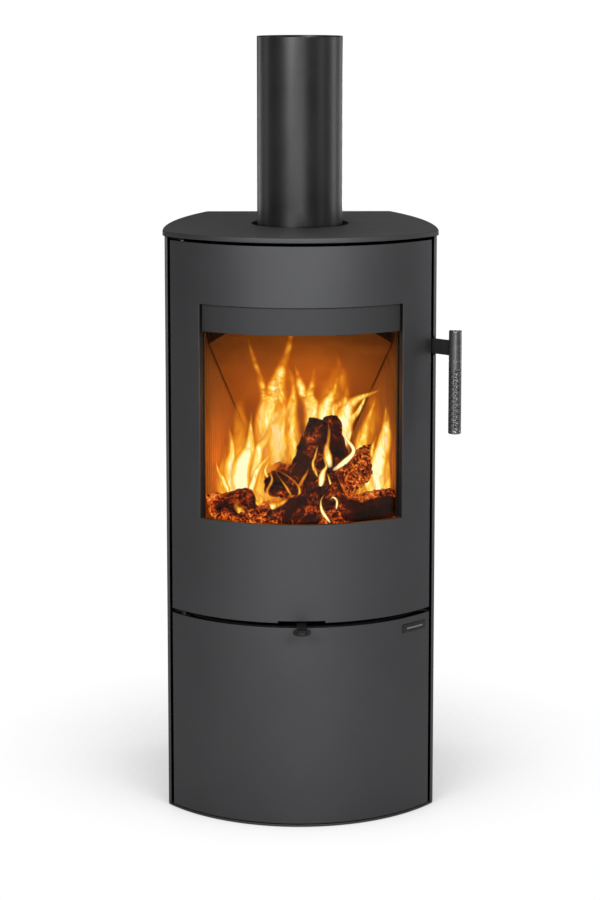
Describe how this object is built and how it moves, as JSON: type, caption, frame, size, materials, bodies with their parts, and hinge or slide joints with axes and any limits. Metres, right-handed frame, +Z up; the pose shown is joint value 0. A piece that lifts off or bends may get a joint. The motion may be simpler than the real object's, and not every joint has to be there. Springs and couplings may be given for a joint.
{
  "type": "wood burning stove",
  "caption": "Upright wood burning stove with curved front and sides, glazed fire door with offset turned handle, storage door below, air lever between them and round top flue.",
  "frame": {"origin": "on the floor, under the middle of the top plate", "axes": "X to the stove's right as seen from the front, the doors face -Y, +Z up"},
  "size_m": [0.509, 0.4985, 1.34],
  "materials": {
    "base_plate": "matt heat-resistant metallic grey paint",
    "side_panel_left": "matt heat-resistant metallic grey paint",
    "side_panel_right": "matt heat-resistant metallic grey paint",
    "back_panel": "matt heat-resistant metallic grey paint",
    "top_plate": "matt heat-resistant metallic grey paint",
    "flue_pipe": "matt heat-resistant metallic grey paint",
    "flue_collar": "matt black heat-resistant paint",
    "firebox_top": "matt black heat-resistant paint",
    "firebox_side_left": "matt black heat-resistant paint",
    "firebox_side_right": "matt black heat-resistant paint",
    "firebox_back": "matt black heat-resistant paint",
    "firebox_floor": "matt black heat-resistant paint",
    "ash_floor": "matt black heat-resistant paint",
    "firebox_front_frame": "matt black heat-resistant paint",
    "mid_shelf": "matt black heat-resistant paint",
    "support_left": "matt black heat-resistant paint",
    "support_right": "matt black heat-resistant paint",
    "primary_air_box": "matt black heat-resistant paint",
    "air_duct": "matt black heat-resistant paint",
    "brick_left": "pressed fire board, matt",
    "brick_right": "pressed fire board, matt",
    "brick_back": "pressed fire board, matt",
    "brick_floor": "pressed fire board, matt",
    "grate": "raw casting",
    "baffle": "pressed fire board, matt",
    "hinge_bracket_top": "matt black heat-resistant paint",
    "hinge_bracket_middle": "matt black heat-resistant paint",
    "hinge_pin_top": "turned steel",
    "hinge_pin_middle": "turned steel",
    "hinge_pin_bottom": "turned steel",
    "latch_keeper": "turned steel",
    "catch_bracket": "matt black heat-resistant paint",
    "magnet_catch": "matt",
    "door_skin": "matt heat-resistant metallic grey paint",
    "door_frame": "matt black heat-resistant paint",
    "seal_channel": "matt black heat-resistant paint",
    "door_glass": "clear ceramic glass, slightly smoked",
    "glass_gasket": "woven glass-fibre rope",
    "glass_retainer_top": "matt black heat-resistant paint",
    "glass_retainer_bottom": "matt black heat-resistant paint",
    "visor_band": "matt heat-resistant metallic grey paint",
    "door_rope_seal": "woven glass-fibre rope",
    "main_hinge_block_top": "matt black heat-resistant paint",
    "main_hinge_block_bottom": "matt black heat-resistant paint",
    "latch_bracket": "matt black heat-resistant paint",
    "latch_shaft": "turned steel",
    "handle_arm": "matt black heat-resistant paint",
    "handle_grip": "turned satin steel",
    "lower_door_skin": "matt heat-resistant metallic grey paint",
    "lower_door_frame": "matt black heat-resistant paint",
    "lower_hinge_block_top": "matt black heat-resistant paint",
    "lower_hinge_block_bottom": "matt black heat-resistant paint",
    "strike_plate": "turned steel",
    "badge_plate": "blank satin plate",
    "air_slide": "matt black heat-resistant paint",
    "air_knob": "satin black",
    "ash_pan": "matt black heat-resistant paint"
  },
  "bodies": {
    "stove_body": {"base_plate": "base_plate", "side_panel_left": "side_panel_left", "side_panel_right": "side_panel_right", "back_panel": "back_panel", "top_plate": "top_plate", "flue_pipe": "flue_pipe", "flue_collar": "flue_collar", "firebox_top": "firebox_top", "firebox_side_left": "firebox_side_left", "firebox_side_right": "firebox_side_right", "firebox_back": "firebox_back", "firebox_floor": "firebox_floor", "ash_floor": "ash_floor", "firebox_front_frame": "firebox_front_frame", "mid_shelf": "mid_shelf", "support_left": "support_left", "support_right": "support_right", "primary_air_box": "primary_air_box", "air_duct": "air_duct", "brick_left": "brick_left", "brick_right": "brick_right", "brick_back": "brick_back", "brick_floor": "brick_floor", "grate": "grate", "baffle": "baffle", "hinge_bracket_top": "hinge_bracket_top", "hinge_bracket_middle": "hinge_bracket_middle", "hinge_pin_top": "hinge_pin_top", "hinge_pin_middle": "hinge_pin_middle", "hinge_pin_bottom": "hinge_pin_bottom", "latch_keeper": "latch_keeper", "catch_bracket": "catch_bracket", "magnet_catch": "magnet_catch"},
    "main_door": {"door_skin": "door_skin", "door_frame": "door_frame", "seal_channel": "seal_channel", "door_glass": "door_glass", "glass_gasket": "glass_gasket", "glass_retainer_top": "glass_retainer_top", "glass_retainer_bottom": "glass_retainer_bottom", "visor_band": "visor_band", "door_rope_seal": "door_rope_seal", "main_hinge_block_top": "main_hinge_block_top", "main_hinge_block_bottom": "main_hinge_block_bottom", "latch_bracket": "latch_bracket"},
    "handle": {"latch_shaft": "latch_shaft", "handle_arm": "handle_arm", "handle_grip": "handle_grip"},
    "lower_door": {"lower_door_skin": "lower_door_skin", "lower_door_frame": "lower_door_frame", "lower_hinge_block_top": "lower_hinge_block_top", "lower_hinge_block_bottom": "lower_hinge_block_bottom", "strike_plate": "strike_plate", "badge_plate": "badge_plate"},
    "air_control": {"air_slide": "air_slide", "air_knob": "air_knob"},
    "ash_pan": {"ash_pan": "ash_pan"}
  },
  "joints": [
    {"name": "main_door_hinge", "type": "hinge", "parent": "stove_body", "child": "main_door", "pos_m": [-0.201, -0.124, 0.68], "axis": [0, 0, -1], "range_deg": [0, 110]},
    {"name": "handle_pivot", "type": "hinge", "parent": "main_door", "child": "handle", "pos_m": [0.2185, -0.106, 0.816], "axis": [0, 0, -1], "range_deg": [0, 20]},
    {"name": "lower_door_hinge", "type": "hinge", "parent": "stove_body", "child": "lower_door", "pos_m": [-0.201, -0.124, 0.18], "axis": [0, 0, -1], "range_deg": [0, 105]},
    {"name": "air_control_slide", "type": "slide", "parent": "stove_body", "child": "air_control", "axis": [1, 0, 0], "range_m": [-0.028, 0.028]},
    {"name": "ash_pan_slide", "type": "slide", "parent": "stove_body", "child": "ash_pan", "axis": [0, -1, 0], "range_m": [0, 0.034]}
  ]
}
